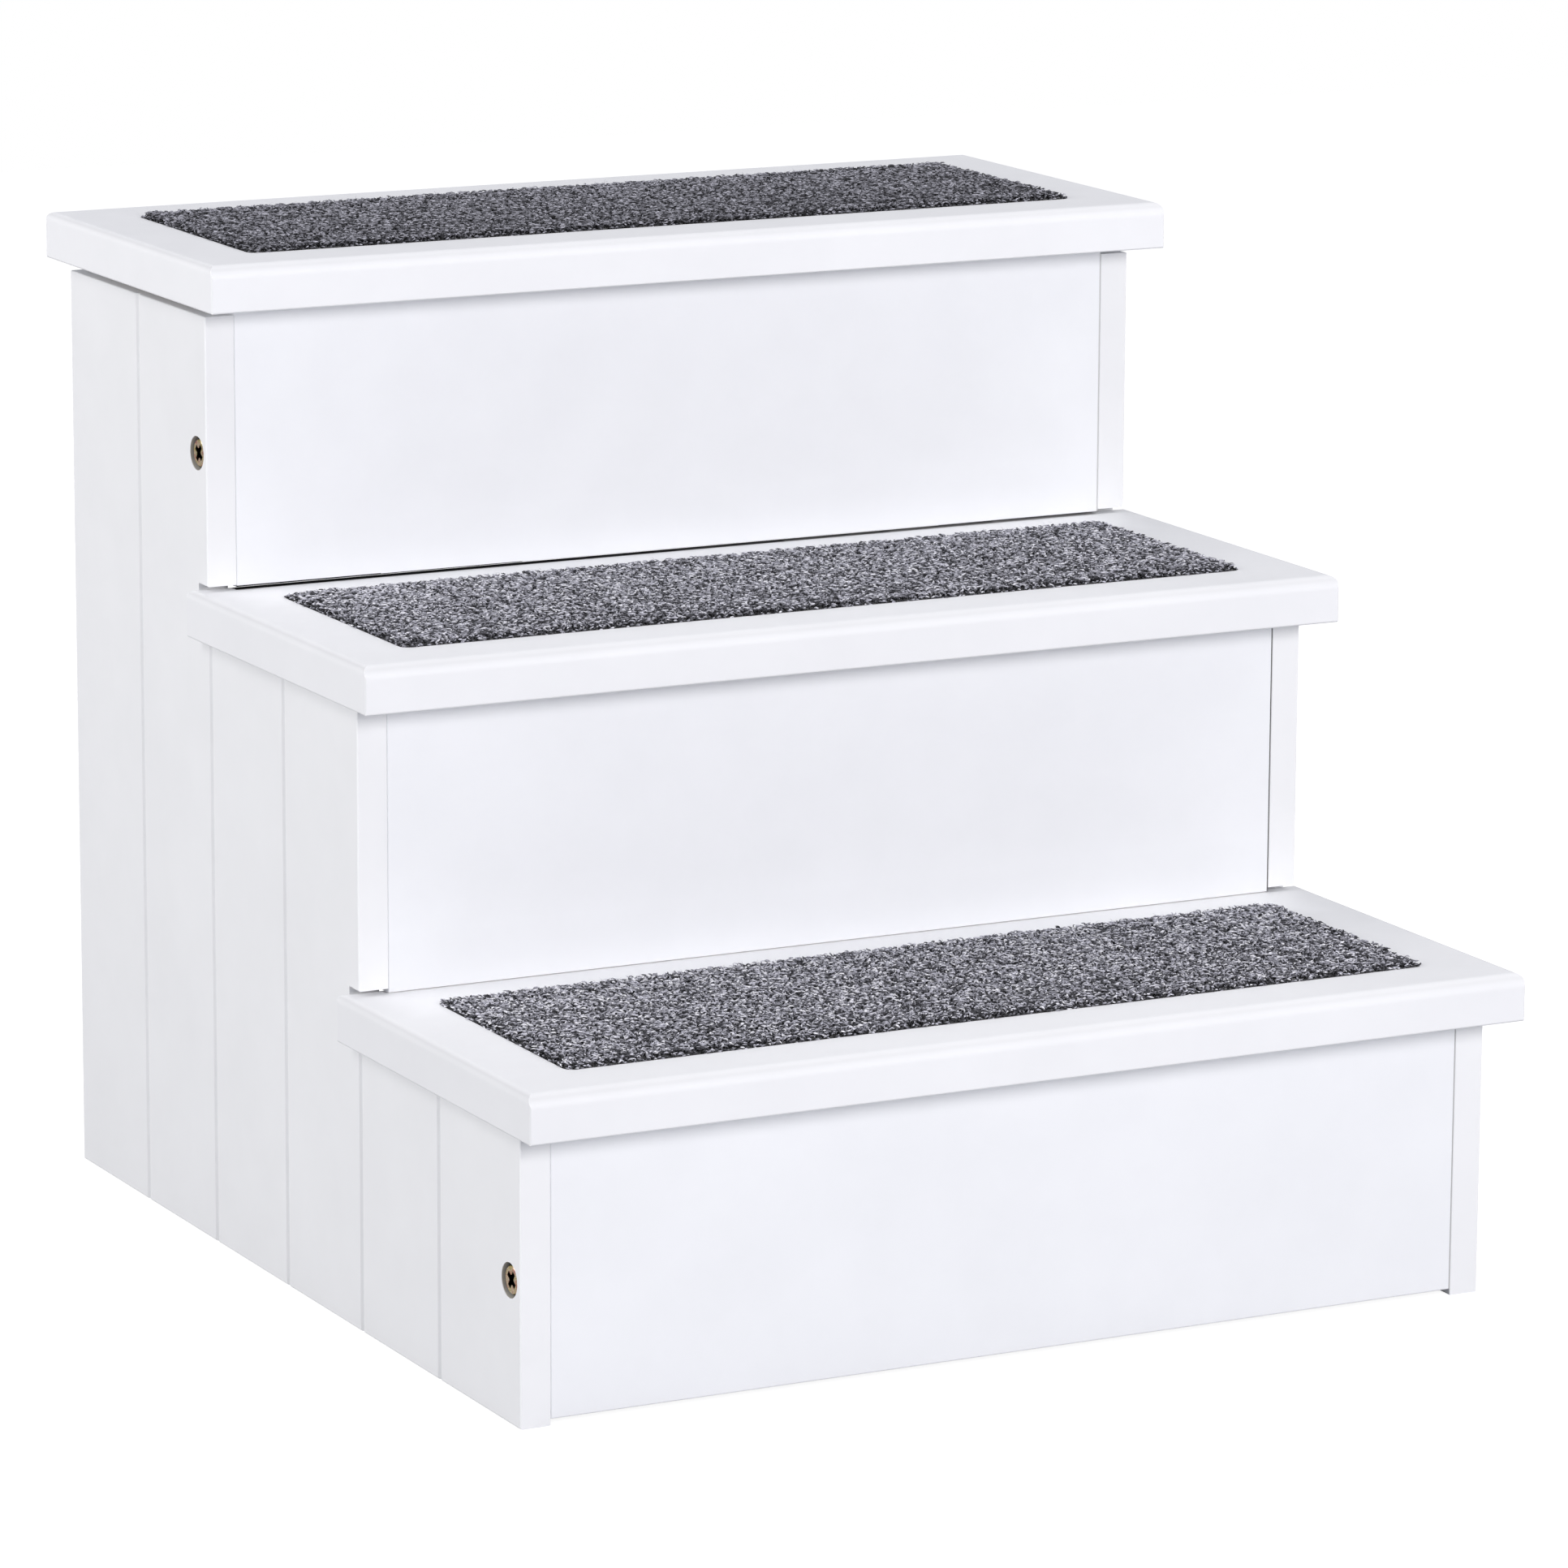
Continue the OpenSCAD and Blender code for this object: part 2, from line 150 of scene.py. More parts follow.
def places(tree, stretch=(1, 1, 1)):
    """Positions on the object in metres, stretched along each axis."""
    position = add_node(tree, "ShaderNodeTexCoord").outputs["Object"]
    inputs = {"Vector": position, "Scale": stretch}
    return add_node(tree, "ShaderNodeMapping", inputs).outputs["Vector"]


def noise(tree, where, per_metre, detail=2.0, roughness=0.5, distortion=0.0):
    made = add_node(tree, "ShaderNodeTexNoise", {
        "Vector": where, "Scale": per_metre, "Detail": detail,
        "Roughness": roughness, "Distortion": distortion,
    })
    return made.outputs["Fac"]


def ramp(tree, value, stops):
    """Turns a value into a colour, from stops of (position, colour)."""
    made = add_node(tree, "ShaderNodeValToRGB", {"Fac": value})
    stops_made = made.color_ramp.elements
    while len(stops_made) < len(stops):
        stops_made.new(0.5)
    for stop, (position, colour) in zip(stops_made, stops):
        stop.position = position
        stop.color = (*colour, 1)
    return made.outputs["Color"]


def spread(tree, value, low, high, from_low=NOISE_SPAN[0], from_high=NOISE_SPAN[1]):
    """Maps a value's usual span onto the span from low to high."""
    made = add_node(tree, "ShaderNodeMapRange", {
        "Value": value, "From Min": from_low, "From Max": from_high, "To Min": low, "To Max": high,
    })
    return made.outputs["Result"]


def inside(tree, low, high, fade=0.0):
    """1 between the two corners of a box on the object, 0 outside it or from fade metres away."""
    position = add_node(tree, "ShaderNodeTexCoord").outputs["Object"]
    middle = [(a + b) / 2 for a, b in zip(low, high)]
    reach = [(b - a) / 2 for a, b in zip(low, high)]
    offset = vector_math(tree, "SUBTRACT", {0: position, 1: middle})
    size = vector_math(tree, "ABSOLUTE", {0: offset})
    past = largest_part(tree, vector_math(tree, "SUBTRACT", {0: size, 1: reach}))
    if fade:
        return spread(tree, past, 1.0, 0.0, 0.0, fade)
    return number_math(tree, "LESS_THAN", past, 0.0)


def bump(tree, height, depth, strength=1.0, below=None):
    """Small relief of that depth in metres, on top of the relief below it."""
    inputs = {"Height": height, "Distance": depth, "Strength": strength}
    if below is not None:
        inputs["Normal"] = below
    return add_node(tree, "ShaderNodeBump", inputs).outputs["Normal"]


# %% [markdown]
# The stairs were photographed on white and cut out, so the picture's ground is pure white.
# More light would burn out the white paint as well. Instead the floor answers two kinds of
# question differently: a ray from the camera sees mostly plain white with a little real shading
# in it, which keeps a faint shadow, while light that bounces sees an ordinary pale floor.
# The world does the same, white to the eye and a soft overcast dome to the paint.

# %% Floor and world
DOME_COLOUR = (0.892, 0.912, 1.0, 1)
DOME_STRENGTH = 0.452
WHITE = (1, 1, 1, 1)
FLOOR_SIZE = 6.0
FLOOR_BOUNCE = (0.44, 0.45, 0.47, 1)
FLOOR_SEEN = (0.34, 0.34, 0.34, 1)
FLOOR_GLOW = 0.86


def split_by_ray(tree, to_bounces, to_camera, output):
    """Shows one shader to the light that bounces and another one to rays from the camera."""
    from_camera = add_node(tree, "ShaderNodeLightPath").outputs["Is Camera Ray"]
    inputs = {0: from_camera, 1: to_bounces.outputs[0], 2: to_camera.outputs[0]}
    pick = add_node(tree, "ShaderNodeMixShader", inputs)
    tree.links.new(pick.outputs[0], tree.nodes[output].inputs["Surface"])


half = FLOOR_SIZE / 2
floor_corners = [(-half, -half, 0), (half, -half, 0), (half, half, 0), (-half, half, 0)]
floor_data = bpy.data.meshes.new("floor")
floor_data.from_pydata(floor_corners, [], [(0, 1, 2, 3)])
floor = bpy.data.objects.new("floor", floor_data)
scene.collection.objects.link(floor)

floor_look, tree, shader = start_material("studio_floor")
tree.nodes.remove(shader)
bounce = add_node(tree, "ShaderNodeBsdfDiffuse", {"Color": FLOOR_BOUNCE})
shade = add_node(tree, "ShaderNodeBsdfDiffuse", {"Color": FLOOR_SEEN})
glow = add_node(tree, "ShaderNodeEmission", {"Color": WHITE, "Strength": FLOOR_GLOW})
seen = add_node(tree, "ShaderNodeAddShader", {0: shade.outputs[0], 1: glow.outputs[0]})
split_by_ray(tree, bounce, seen, "Material Output")
floor_data.materials.append(floor_look)

world = bpy.data.worlds.new("studio")
scene.world = world
world.use_nodes = True
tree = world.node_tree
dome = tree.nodes["Background"]
dome.inputs["Color"].default_value = DOME_COLOUR
dome.inputs["Strength"].default_value = DOME_STRENGTH
paper = add_node(tree, "ShaderNodeBackground", {"Color": WHITE, "Strength": 1.0})
split_by_ray(tree, dome, paper, "World Output")
print("floor", FLOOR_SIZE, "m wide, dome strength", DOME_STRENGTH)

# %% [markdown]
# In the photograph the fronts are the brightest faces and the left side is a shade darker. Under
# each nose is one thin shadow, dark at the edge and soft below, so the main light stands in front
# and low: the lower it is, the narrower the shadow. That lamp only grazes the treads, so two more
# stand high on both sides, nearly in line with the fronts, on which they throw no shadow then,
# and a fourth lights the side. Light adds up, so each lamp was rendered alone, and strengths were
# chosen that bring the sum nearest to the tones measured in the photograph.

# %% Lamps
LAMP_AIM = Vector((0, 0, 0.2))


def soft_lamp(name, place, diameter, watts, colour):
    data = bpy.data.lights.new(name, "AREA")
    data.shape = "DISK"
    data.size = diameter
    data.energy = watts
    data.color = colour
    lamp = bpy.data.objects.new(name, data)
    towards_aim = (LAMP_AIM - Vector(place)).to_track_quat("-Z", "Y")
    lamp.matrix_world = Matrix.Translation(place) @ towards_aim.to_matrix().to_4x4()
    scene.collection.objects.link(lamp)
    print(name, watts, "W")


soft_lamp("front_lamp", (0.3, -3.0, 1.2), 1.2, 65, (1.0, 0.98, 0.988))
soft_lamp("left_lamp", (-3.0, 0.2, 1.0), 1.4, 39.5, (1.0, 0.98, 0.945))
soft_lamp("high_left_lamp", (-2.2, 0.9, 2.4), 1.4, 22, (1.0, 0.98, 0.985))
soft_lamp("high_right_lamp", (2.4, -0.3, 2.3), 1.4, 22, (1.0, 0.99, 0.93))

# %% [markdown]
# Along the boards' edges the paint is lighter: a painted highlight, like the thin bright lines
# that edges catch. No one has to mark them by hand: the Bevel node tells what the surface would
# face if each edge were rounded, and where that differs from the real normal there is an edge
# nearby. A tread's nose is rounded in the wood itself, and there the real normal points along
# none of the three axes, which is where its painted shade goes.

# %% Edges of the boards
# How far the painted highlight along edges reaches.
EDGE_HIGHLIGHT_RADIUS = 0.0008
BEVEL_SAMPLES = 6
ALIKE_AT_EDGE, ALIKE_ON_FACE = 0.7, 0.98
ALONG_AXIS_ON_ROUND, ALONG_AXIS_ON_FACE = 0.75, 1.0


def edge_share(tree):
    """0 on flat faces, up to 1 at edges."""
    rounded = add_node(tree, "ShaderNodeBevel", {"Radius": EDGE_HIGHLIGHT_RADIUS}, samples=BEVEL_SAMPLES)
    real = add_node(tree, "ShaderNodeNewGeometry")
    normals = {0: rounded.outputs["Normal"], 1: real.outputs["Normal"]}
    alike = add_node(tree, "ShaderNodeVectorMath", normals, operation="DOT_PRODUCT")
    return spread(tree, alike.outputs["Value"], 1.0, 0.0, ALIKE_AT_EDGE, ALIKE_ON_FACE)


def round_share(tree):
    """0 on faces that look along an axis, 1 where a rounded edge turns between two of them."""
    normal = add_node(tree, "ShaderNodeNewGeometry").outputs["Normal"]
    along_axis = largest_part(tree, vector_math(tree, "ABSOLUTE", {0: normal}))
    return spread(tree, along_axis, 1.0, 0.0, ALONG_AXIS_ON_ROUND, ALONG_AXIS_ON_FACE)


# %% [markdown]
# The boards are sprayed with satin white paint. Such paint is never one flat colour: it lies a
# little thicker here and thinner there, which coarse noise gives, and it has the fine dimples
# called orange peel, which two finer noises raise as relief. On top of that each board may have
# boxes of painted light, painted shade on its rounded edges and towards its lower edge, or foot,
# a painted highlight along its edges, and boxes of other colours: bare bores, painted shadow and
# shade in joints, and whiter paint in one joint.

# %% Satin paint
MOTTLE_PER_M = 28
PATCHES_PER_M = 160
PAINT_ROUGHNESS = 0.48, 0.6
PAINT_SHINE = 0.35
WAVES_PER_M, WAVE_DEPTH, WAVE_STRENGTH = 90, 0.00006, 0.6
PEEL_PER_M, PEEL_DEPTH, PEEL_STRENGTH = 700, 0.00002, 0.7
LIT_BOX_FADE = 0.02


def satin_paint(name, thin, full, edge_highlight, colour_boxes=(), lit_boxes=(), shade_on_rounds=1.0, foot_shade=None):
    """White paint from its thin to its full tone, with painted edge highlights and colour boxes.

    Boxes of painted light scale the tone, painted shade scales it on wide rounded edges, and the
    last argument is the height, reach and share of painted shade towards a board's lower edge.
    """
    material, tree, shader = start_material(name)
    shader.inputs["Specular IOR Level"].default_value = PAINT_SHINE
    where = places(tree)
    mottle = noise(tree, where, MOTTLE_PER_M, detail=4, roughness=0.55)
    coat = ramp(tree, mottle, list(zip(NOISE_SPAN, (thin, full))))
    # Painted shade on wide rounded edges, such as a tread's nose.
    if shade_on_rounds != 1.0:
        coat = blended(tree, round_share(tree), coat, scaled(tree, coat, shade_on_rounds))
    # Painted shade towards the board's lower edge.
    if foot_shade:
        base, reach, share = foot_shade
        height = add_node(tree, "ShaderNodeSeparateXYZ", {"Vector": where}).outputs["Z"]
        coat = scaled(tree, coat, spread(tree, height, share, 1.0, base, base + reach))
    # Boxes of painted light scale the tone up.
    for low, high, share in lit_boxes:
        coat = blended(tree, inside(tree, low, high, LIT_BOX_FADE), coat, scaled(tree, coat, share))
    # Along the edges the tone turns to the painted highlight.
    tone = blended(tree, edge_share(tree), coat, (*edge_highlight, 1))
    # Boxes of other colours: bare bores, painted shadow and shade in joints, whiter joint paint.
    for low, high, colour in colour_boxes:
        tone = blended(tree, inside(tree, low, high), tone, (*colour, 1))
    tree.links.new(tone, shader.inputs["Base Color"])
    patches = noise(tree, where, PATCHES_PER_M, detail=3)
    tree.links.new(spread(tree, patches, *PAINT_ROUGHNESS), shader.inputs["Roughness"])
    waves = bump(tree, noise(tree, where, WAVES_PER_M, detail=1), WAVE_DEPTH, WAVE_STRENGTH)
    peel = bump(tree, noise(tree, where, PEEL_PER_M), PEEL_DEPTH, PEEL_STRENGTH, waves)
    tree.links.new(peel, shader.inputs["Normal"])
    return material


def dress(material, *names):
    """Puts the material on these parts of the frame."""
    for name in names:
        slots = nodes[name].data.materials
        if not slots:
            slots.append(material)
        for i in range(len(slots)):
            slots[i] = material
    print(material.name, "on", ", ".join(names))


# %% [markdown]
# The panels come first. Each is one board with grooves, and the bolts through it sit in bores,
# where the paint doesn't reach and the grey board shows. One box for each bolt goes through both
# panels, but stops a hair short of their outer faces, so that these stay white round the bore.

# %% Side panels and rails
# Each set of tones is thin, full, and the painted highlight along edges.
PANEL_TONES = (0.81, 0.815, 0.825), (0.835, 0.84, 0.85), (0.94, 0.94, 0.95)
RISER_TONES = (0.82, 0.83, 0.85), (0.845, 0.855, 0.875), (0.95, 0.95, 0.96)
HEAD_WIDE = 0.0114
BORE_RING = 0.0012
BORE_GREY = (0.52, 0.51, 0.46)
SLIGHT = 0.0003

panels_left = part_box("left_side_panel")[0].x
panels_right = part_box("right_side_panel")[1].x
bolts_low, bolts_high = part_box("left_riser_bolts")
bores = []
for y, z in ((bolts_low.y, bolts_low.z), (bolts_high.y - HEAD_WIDE, bolts_high.z - HEAD_WIDE)):
    low = panels_left + SLIGHT, y - BORE_RING, z - BORE_RING
    high = panels_right - SLIGHT, y + HEAD_WIDE + BORE_RING, z + HEAD_WIDE + BORE_RING
    bores.append((low, high, BORE_GREY))
dress(satin_paint("panel_paint", *PANEL_TONES, colour_boxes=bores), "left_side_panel", "right_side_panel")
dress(satin_paint("rail_paint", *RISER_TONES), "upper_back_rail", "lower_back_rail")

# %% [markdown]
# Under the top riser the photograph has a black line that gets thinner and paler to the right.
# That line is painted shadow. The strip of the middle tread that lies under the top riser is
# coloured dark, like that riser's lower edge. The strip is cut into boxes that get paler towards
# the right, and at the left the dark is carried a little way up the riser's front, which makes
# the line thicker there.

# %% Painted shadow under the top riser
# Tones of the painted shadow strip, from left to right.
SHADOW_STRIP_TONES = 0.003, 0.005, 0.012, 0.04, 0.12, 0.3, 0.5, 0.7
STRIP_DEPTH = 0.004
# The darkest tone of the painted shadow.
PAINTED_SHADOW_DARK = (0.01, 0.01, 0.01)
SHADOW_FOOT_LINES = (0.06, 0.0006), (0.12, 0.0004)
PROUD = 0.001

top_riser_low, top_riser_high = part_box("top_riser")
middle_tread_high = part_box("middle_tread")[1]
shadow_strip = []
strip_step = (top_riser_high.x - top_riser_low.x) / len(SHADOW_STRIP_TONES)
for k, tone in enumerate(SHADOW_STRIP_TONES):
    start = top_riser_low.x + k * strip_step
    low = start, top_riser_low.y + SLIGHT, middle_tread_high.z - STRIP_DEPTH
    high = start + strip_step, middle_tread_high.y + SLIGHT, middle_tread_high.z + SLIGHT
    shadow_strip.append((low, high, (tone, tone, tone)))
low = top_riser_low.x, top_riser_low.y + SLIGHT, top_riser_low.z - PROUD
high = top_riser_high.x, top_riser_high.y, top_riser_low.z + SLIGHT
shadow_foot = [(low, high, PAINTED_SHADOW_DARK)]
for reach, height in SHADOW_FOOT_LINES:
    low = top_riser_low.x, top_riser_low.y - PROUD, top_riser_low.z - PROUD
    high = top_riser_low.x + reach, top_riser_high.y, top_riser_low.z + height
    shadow_foot.append((low, high, PAINTED_SHADOW_DARK))
print("the dark strip is", round(strip_step * len(shadow_strip), 3), "m long in", len(shadow_strip), "boxes")

# %% [markdown]
# Two more joints need care. In the photograph a thin dark line runs up each riser's right end,
# darkest on the middle riser, so a narrow strip there is coloured grey to near black, which is
# painted shade in the joint between riser and panel. The joint under the middle riser, on the
# other hand, is only a faint line. A slit between ordinary paint came out too dark, so the paint
# in the joint is whiter, which passes more light on to the back of it.

# %% Painted shade in the seams, and the painted joint
# Grey of the painted shade in each riser's right-hand seam.
SEAM_SHADES = {"bottom": 0.42, "middle": 0.08, "top": 0.58}
SEAM_WIDE = 0.0006
JOINT_WHITE = (0.98, 0.98, 0.985)
JOINT_DEEP = 0.006

seam_shadows = {}
for step, tone in SEAM_SHADES.items():
    riser_low, riser_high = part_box(step + "_riser")
    low = riser_high.x - SEAM_WIDE, riser_low.y - PROUD, riser_low.z
    high = riser_high.x + PROUD, riser_high.y, riser_high.z
    seam_shadows[step] = low, high, (tone, tone, tone)
riser_low, riser_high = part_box("middle_riser")
low = riser_low.x, riser_low.y - SLIGHT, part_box("bottom_tread")[1].z - SLIGHT
high = riser_high.x, riser_low.y + JOINT_DEEP, riser_low.z + SLIGHT
joint = low, high, JOINT_WHITE
riser_boxes = {
    "bottom": [seam_shadows["bottom"]],
    "middle": [joint, seam_shadows["middle"]],
    "top": [seam_shadows["top"], *shadow_foot],
}
tread_boxes = {"bottom": [joint], "middle": shadow_strip, "top": []}

# %% [markdown]
# A tread's rounded nose gets painted shade, a darker tone, and so do the lower edges of the
# two upper risers. Behind the carpet, in the corner below a riser, painted light makes the paint
# whiter than elsewhere. Each riser and each tread scales the tones by a share of its own, partly
# as boards differ and partly as painted light and shade for the light on its step.

# %% Risers and treads
# The third tone is the painted highlight along the treads' edges.
TREAD_TONES = (0.82, 0.825, 0.84), (0.845, 0.85, 0.865), (0.95, 0.95, 0.96)
# Shares for each board, partly as boards differ and partly as painted light and shade.
RISER_LIGHT_SHARES = {"bottom": 0.985, "middle": 0.995, "top": 1.02}
TREAD_LIGHT_SHARES = {"bottom": 0.965, "middle": 0.98, "top": 1.02}
# Painted shade on a tread's rounded nose.
NOSE_SHADE = 0.885
# Painted shade towards the lower edges of the two upper risers.
FOOT_SHADES = {"bottom": 1.0, "middle": 0.925, "top": 0.945}
FOOT_SHADE_REACH = 0.022
# Painted light in the corner behind each carpet.
CORNER_LIGHT_SHARES = {"bottom": 1.11, "middle": 1.1}


def tones_of_board(tones, share):
    return [tuple(c * share for c in tone) for tone in tones]


corners = {"top": []}
for step, above in zip(STEPS, STEPS[1:]):
    carpet_low, carpet_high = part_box(step + "_carpet")
    tread_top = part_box(step + "_tread")[1].z
    low = carpet_low.x, carpet_high.y, tread_top - SLIGHT
    high = carpet_high.x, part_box(above + "_riser")[0].y, tread_top + SLIGHT
    corners[step] = [(low, high, CORNER_LIGHT_SHARES[step])]
for step in STEPS:
    tones = tones_of_board(RISER_TONES, RISER_LIGHT_SHARES[step])
    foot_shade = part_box(step + "_riser")[0].z, FOOT_SHADE_REACH, FOOT_SHADES[step]
    dress(satin_paint(step + "_riser_paint", *tones, riser_boxes[step], foot_shade=foot_shade), step + "_riser")
    tones = tones_of_board(TREAD_TONES, TREAD_LIGHT_SHARES[step])
    paint = satin_paint(step + "_tread_paint", *tones, tread_boxes[step], corners[step], NOSE_SHADE)
    dress(paint, step + "_tread")

# %% [markdown]
# Behind the risers the cleats are left as sawn softwood, and the dowels are turned hardwood.
# Wood grain is a pattern pulled out along the board, so the noise is squeezed along the length:
# many changes across, few along. A second, finer noise draws the pores.

# %% Bare wood
RINGS_SCALE, PORES_SCALE = 6, 40
RING_PLACES = 0.32, 0.5, 0.68
WOOD_ROUGHNESS = 0.55, 0.75
PORE_DEPTH, PORE_STRENGTH = 0.00015, 0.6
ALONG_CLEAT = (30, 3, 30)
ALONG_DOWEL = (3, 40, 40)


def bare_wood(name, stretch, early, late):
    material, tree, shader = start_material(name)
    along = places(tree, stretch)
    rings = noise(tree, along, RINGS_SCALE, detail=5, roughness=0.6, distortion=0.8)
    between = tuple((a + b) / 2 for a, b in zip(early, late))
    colour = ramp(tree, rings, list(zip(RING_PLACES, (early, between, late))))
    tree.links.new(colour, shader.inputs["Base Color"])
    pores = noise(tree, along, PORES_SCALE, detail=3)
    tree.links.new(spread(tree, pores, *WOOD_ROUGHNESS), shader.inputs["Roughness"])
    tree.links.new(bump(tree, pores, PORE_DEPTH, PORE_STRENGTH), shader.inputs["Normal"])
    return material


softwood = bare_wood("bare_softwood", ALONG_CLEAT, (0.72, 0.52, 0.31), (0.52, 0.33, 0.17))
hardwood = bare_wood("dowel_hardwood", ALONG_DOWEL, (0.74, 0.58, 0.38), (0.6, 0.43, 0.25))
dress(softwood, *(f"{step}_{side}_cleat" for step in STEPS for side in ("left", "right")))
dress(hardwood, "riser_dowels", "rail_dowels")

# %% [markdown]
# The riser bolts have the yellow plating that shimmers from brass to copper and a little green,
# because the coat is about as thick as a wave of light. A colour ramp over soft noise gives that
# drift. Below the faces of their heads, cross recesses included, they are coloured dark brown.
# The screws and barrel nuts have plain bright plating with fine scratches.

# %% Plated metal
YELLOW_TINTS = [
    (0.42, 0.38, 0.15), (0.72, 0.56, 0.2), (0.86, 0.7, 0.48), (0.74, 0.38, 0.22), (0.6, 0.26, 0.26),
]
BRIGHT_TINTS = [(0.52, 0.53, 0.55), (0.68, 0.69, 0.72)]
YELLOW_PATCHES_PER_M, BRIGHT_PATCHES_PER_M = 420, 300
YELLOW_ROUGHNESS = 0.22, 0.4
BRIGHT_ROUGHNESS = 0.25, 0.4
SCRATCHES_PER_M, SCRATCH_DEPTH, SCRATCH_STRENGTH = 2500, 0.00002, 0.5
RECESS_BROWN = (0.06, 0.035, 0.025)


def plated_metal(name, tints, patches_per_m, roughness, dull=()):
    material, tree, shader = start_material(name)
    shader.inputs["Metallic"].default_value = 1.0
    where = places(tree)
    drift = noise(tree, where, patches_per_m, detail=3, roughness=0.6, distortion=0.5)
    tint_places = np.linspace(*NOISE_SPAN, len(tints)).tolist()
    tint = ramp(tree, drift, list(zip(tint_places, tints)))
    for low, high, colour in dull:
        tint = blended(tree, inside(tree, low, high), tint, (*colour, 1))
    tree.links.new(tint, shader.inputs["Base Color"])
    scratches = noise(tree, where, SCRATCHES_PER_M)
    tree.links.new(spread(tree, scratches, *roughness), shader.inputs["Roughness"])
    relief = bump(tree, scratches, SCRATCH_DEPTH, SCRATCH_STRENGTH)
    tree.links.new(relief, shader.inputs["Normal"])
    return material


low = bolts_low.x + SLIGHT, bolts_low.y, bolts_low.z
high = -bolts_low.x - SLIGHT, bolts_high.y, bolts_high.z
recesses = [(low, high, RECESS_BROWN)]
yellow_plating = plated_metal(
    "yellow_plating", YELLOW_TINTS, YELLOW_PATCHES_PER_M, YELLOW_ROUGHNESS, recesses)
bright_plating = plated_metal(
    "bright_plating", BRIGHT_TINTS, BRIGHT_PATCHES_PER_M, BRIGHT_ROUGHNESS)
dress(yellow_plating, "left_riser_bolts", "right_riser_bolts")
dress(bright_plating, "barrel_nuts", "cleat_screws", "tread_screws")

# %% [markdown]
# Each tread carries a strip of short, curly, heather-grey carpet. Its form is thousands of fibres
# in four shades, rooted in a dark felt backing. Blender's hair would draw it, but hair is lost
# when a model is exported, so every fibre here is a small closed mesh. Much in the carpet varies
# smoothly from place to place, and one function serves all of that: it draws random heights on a
# coarse grid and joins them with smooth slopes.

# %% Smooth random fields
def smooth_field(rng, x, y, cell):
    """Smooth noise from -1 to 1 over points in metres, with bumps about one cell wide."""
    column, row = (x - x.min()) / cell, (y - y.min()) / cell
    heights = rng.uniform(-1, 1, (int(column.max()) + 2, int(row.max()) + 2))
    i, j = column.astype(int), row.astype(int)
    u, v = column - i, row - j
    u, v = u * u * (3 - 2 * u), v * v * (3 - 2 * v)
    near = heights[i, j] * (1 - v) + heights[i, j + 1] * v
    far = heights[i + 1, j] * (1 - v) + heights[i + 1, j + 1] * v
    return near * (1 - u) + far * u


# %% [markdown]
# The felt is a pad with an uneven top, made as a grid whose points are raised by such a field.
# Its rim is rounded down on all four sides, as cut felt is, and its underside is flat because it
# is glued to the floor of the recess. A router bit cut the recess, so its corners are round and
# the carpet's are too. A square piece of grid at each corner is pressed into a quarter disc: the
# further out a point lies along one axis, the more it is drawn in along the other.

# %% Felt backing
PAD_SINK = 0.0024
PAD_ROUGH = 0.0004
PAD_BUMPS = 0.004
PAD_CELL = 0.0025
PAD_RIM = 0.0012
CORNER_RADIUS = 0.0036


def round_corners(x, y, low, high, proud=0.0):
    """Draws the points of a rectangle in, so that it has round corners."""
    ends = [(low[k] - proud, high[k] + proud) for k in (0, 1)]
    radius = CORNER_RADIUS + proud
    past = []
    for value, (start, end) in zip((x, y), ends):
        middle, reach = (start + end) / 2, (end - start) / 2 - radius
        share = ((abs(value - middle) - reach) / radius).clip(0, 1)
        past.append((middle, reach, share, np.sign(value - middle)))
    both = (past[0][2] > 0) & (past[1][2] > 0)
    drawn = []
    for value, mine, other in zip((x, y), past, past[::-1]):
        middle, reach, share, side = mine
        on_disc = middle + side * (reach + radius * share * np.sqrt(1 - other[2] ** 2 / 2))
        drawn.append(np.where(both, on_disc, value))
    return drawn


def felt_pad(step, rng):
    low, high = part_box(step + "_carpet")
    top = high.z - PAD_SINK
    columns, rows = (round((high[k] - low[k]) / PAD_CELL) + 1 for k in (0, 1))
    across, along = np.linspace(low.x, high.x, columns), np.linspace(low.y, high.y, rows)
    x, y = np.meshgrid(across, along, indexing="ij")
    rim = np.minimum.reduce([x - low.x, high.x - x, y - low.y, high.y - y])
    z = top + PAD_ROUGH * smooth_field(rng, x, y, PAD_BUMPS) - PAD_RIM * np.exp(-rim / PAD_RIM)
    x, y = round_corners(x, y, low, high)
    above = np.stack([x, y, z], -1).reshape(-1, 3)
    under = np.stack([x, y, np.full_like(x, low.z)], -1).reshape(-1, 3)
    at = np.arange(columns * rows).reshape(columns, rows)
    quads = np.stack([at[:-1, :-1], at[1:, :-1], at[1:, 1:], at[:-1, 1:]], -1).reshape(-1, 4)
    loop = np.concatenate([at[:, 0], at[-1, 1:], at[-2::-1, -1], at[0, -2:0:-1]])
    after = np.roll(loop, -1)
    count = columns * rows
    walls = np.stack([loop + count, after + count, after, loop], -1)
    faces = np.concatenate([quads, quads[:, ::-1] + count, walls])
    data = bpy.data.meshes.new(step + "_carpet_felt")
    data.from_pydata(np.concatenate([above, under]), [], faces.tolist())
    data.shade_smooth()
    pad = bpy.data.objects.new(step + "_carpet_felt", data)
    scene.collection.objects.link(pad)
    return pad, low, high, top


# %% [markdown]
# Between the fibres the felt shows as dark, matted tufts: a twisted noise gives three tones of
# near-black, and the same noise sets its roughness and its relief. Its near-black is partly the
# felt's own colour and partly painted shade for the depth of the pile. Felt scatters light that
# grazes it, which is what the sheen is for.

